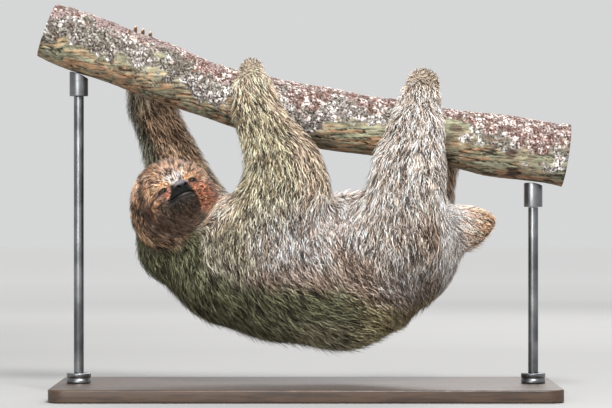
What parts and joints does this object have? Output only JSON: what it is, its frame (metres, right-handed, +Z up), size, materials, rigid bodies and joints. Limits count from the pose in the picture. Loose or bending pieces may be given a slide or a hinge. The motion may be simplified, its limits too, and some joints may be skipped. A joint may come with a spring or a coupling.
{
  "type": "three-toed sloth",
  "caption": "Life-size museum model of a shaggy three-toed sloth hanging under a cut length of lichened branch, on a flat base with slim steel rods.",
  "frame": {"origin": "centre of the base board's underside, on the floor", "axes": "+Z up; +X along the branch from the sloth's head end to its tail end; the sloth's right side faces -Y"},
  "size_m": [0.7474, 0.3, 0.5499],
  "materials": {
    "coat": "long coarse grey-brown fur with pale streaks and an olive tinge",
    "face_coat": "short soft fur, cream on the brow, orange-brown round the eyes, dark brown throat",
    "muzzle_skin": "near-black bare skin, slightly moist",
    "claw_horn": "yellow-brown horn, satin",
    "eye": "dark brown, glossy",
    "bark": "rough grey-brown bark with white and grey-green lichen",
    "base_board": "dark stained wood, satin lacquer",
    "stand_steel": "brushed"
  },
  "bodies": {
    "root": {"stand_base": "base_board", "stand_collar_left": "stand_steel", "stand_rod_left": "stand_steel", "stand_cradle_left": "stand_steel", "stand_collar_right": "stand_steel", "stand_rod_right": "stand_steel", "stand_cradle_right": "stand_steel", "branch": "bark", "tail": "coat", "rump": "coat", "belly": "coat", "chest": "coat", "neck": "coat", "muzzle": "muzzle_skin", "head": "face_coat", "eye_right": "eye", "eye_left": "eye", "upper_arm_right": "coat", "forearm_right": "coat", "hand_right": "coat", "upper_arm_left": "coat", "forearm_left": "coat", "hand_left": "coat", "thigh_right": "coat", "shin_right": "coat", "foot_right": "coat", "thigh_left": "coat", "shin_left": "coat", "foot_left": "coat", "claw_hand_right_inner": "claw_horn", "claw_hand_right_middle": "claw_horn", "claw_hand_right_outer": "claw_horn", "claw_hand_left_inner": "claw_horn", "claw_hand_left_middle": "claw_horn", "claw_hand_left_outer": "claw_horn", "claw_foot_right_inner": "claw_horn", "claw_foot_right_middle": "claw_horn", "claw_foot_right_outer": "claw_horn", "claw_foot_left_inner": "claw_horn", "claw_foot_left_middle": "claw_horn", "claw_foot_left_outer": "claw_horn"}
  },
  "joints": []
}
